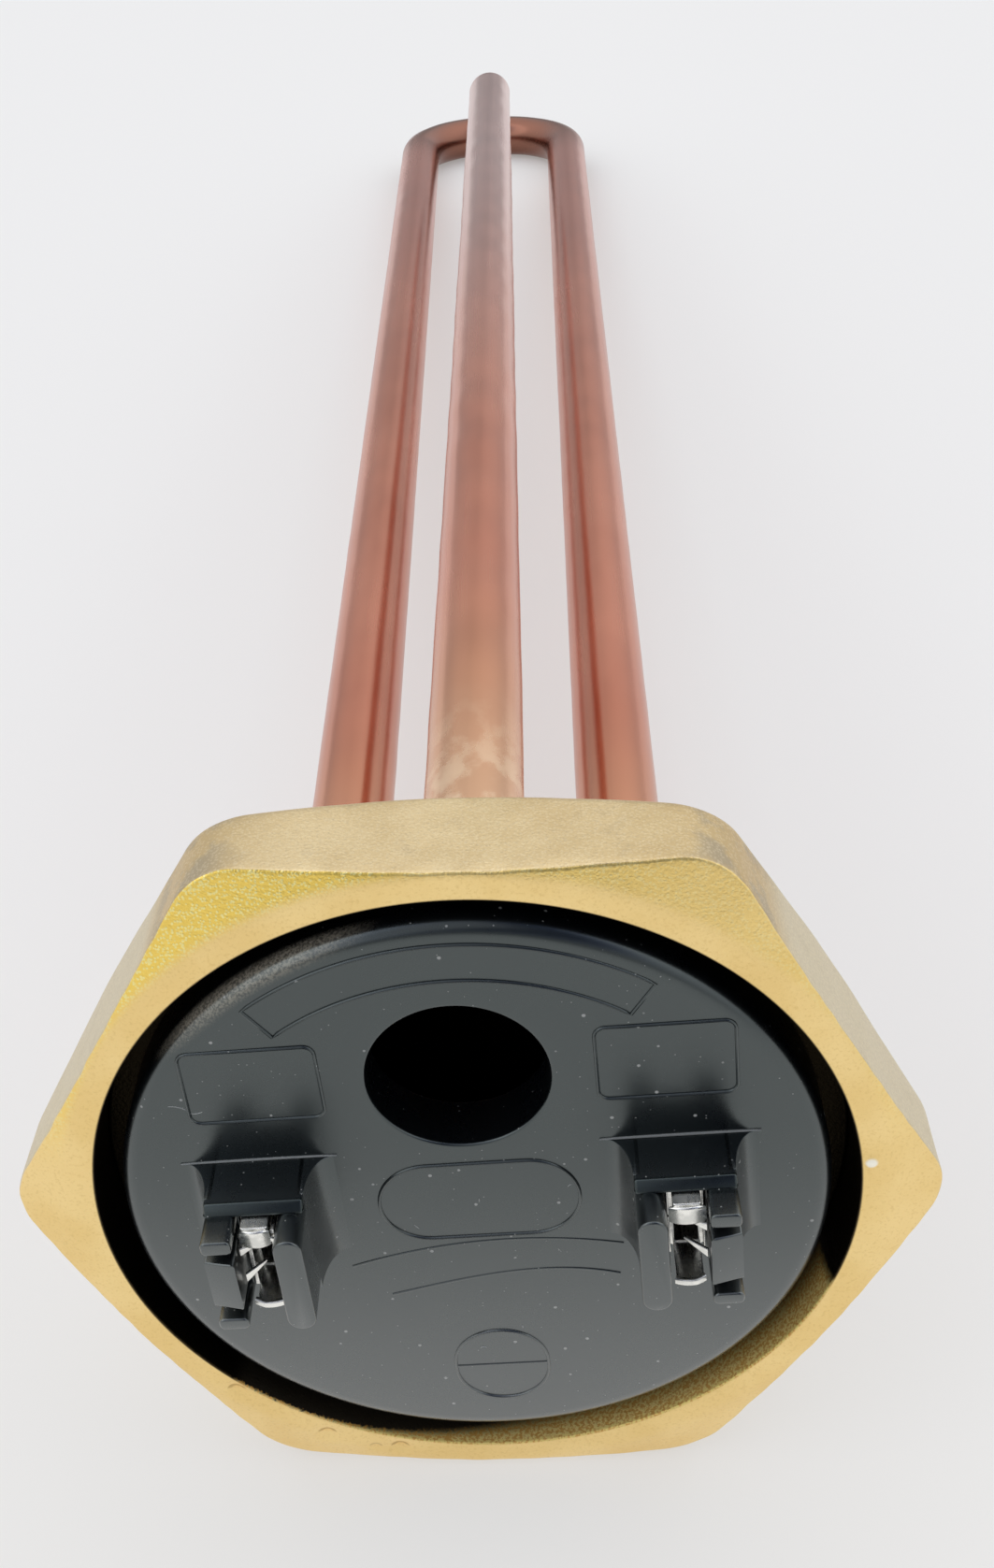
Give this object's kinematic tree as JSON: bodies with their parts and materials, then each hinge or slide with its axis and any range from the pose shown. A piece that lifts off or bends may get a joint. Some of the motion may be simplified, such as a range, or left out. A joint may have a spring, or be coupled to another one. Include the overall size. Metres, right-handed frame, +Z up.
{
  "type": "screw plug immersion heater",
  "caption": "Brass hexagon screw plug with a U-shaped copper heating element, a closed copper well for a control rod and a black terminal insert with blade sockets.",
  "frame": {"origin": "on the thread's axis, in the plane of the sealing shoulder behind the hexagon", "axes": "+Y along the thread's axis into the tank, +Z up from the heating element's legs to the well, +X to the right seen from the hexagon's side"},
  "size_m": [0.062, 0.3146, 0.055],
  "materials": {
    "brass_body": "hot-stamped and blasted, fine grain",
    "copper_sheath": "drawn copper, slightly tarnished",
    "copper_well": "drawn copper with a heat stain near the plug",
    "magnesia": "pressed powder",
    "resistance_wire": "wound resistance wire",
    "pin_steel": "drawn steel",
    "seal_resin": "cured sealing resin",
    "bush_ceramic": "fired, unglazed",
    "braze_filler": "smooth brazed bead",
    "black_moulding": "satin black thermoset moulding",
    "tinned_contact": "folded sheet with tin plating"
  },
  "bodies": {
    "root": {"hex_plug": "brass_body", "heater_sheath": "copper_sheath", "magnesia_fill": "magnesia", "resistance_coil": "resistance_wire", "terminal_pin_left": "pin_steel", "terminal_pin_right": "pin_steel", "end_seal_left": "seal_resin", "end_seal_right": "seal_resin", "pin_bush_left": "bush_ceramic", "pin_bush_right": "bush_ceramic", "thermowell": "copper_well", "braze_left": "braze_filler", "braze_right": "braze_filler", "braze_well": "braze_filler", "terminal_insert": "black_moulding", "contact_left": "tinned_contact", "contact_right": "tinned_contact"}
  },
  "joints": []
}
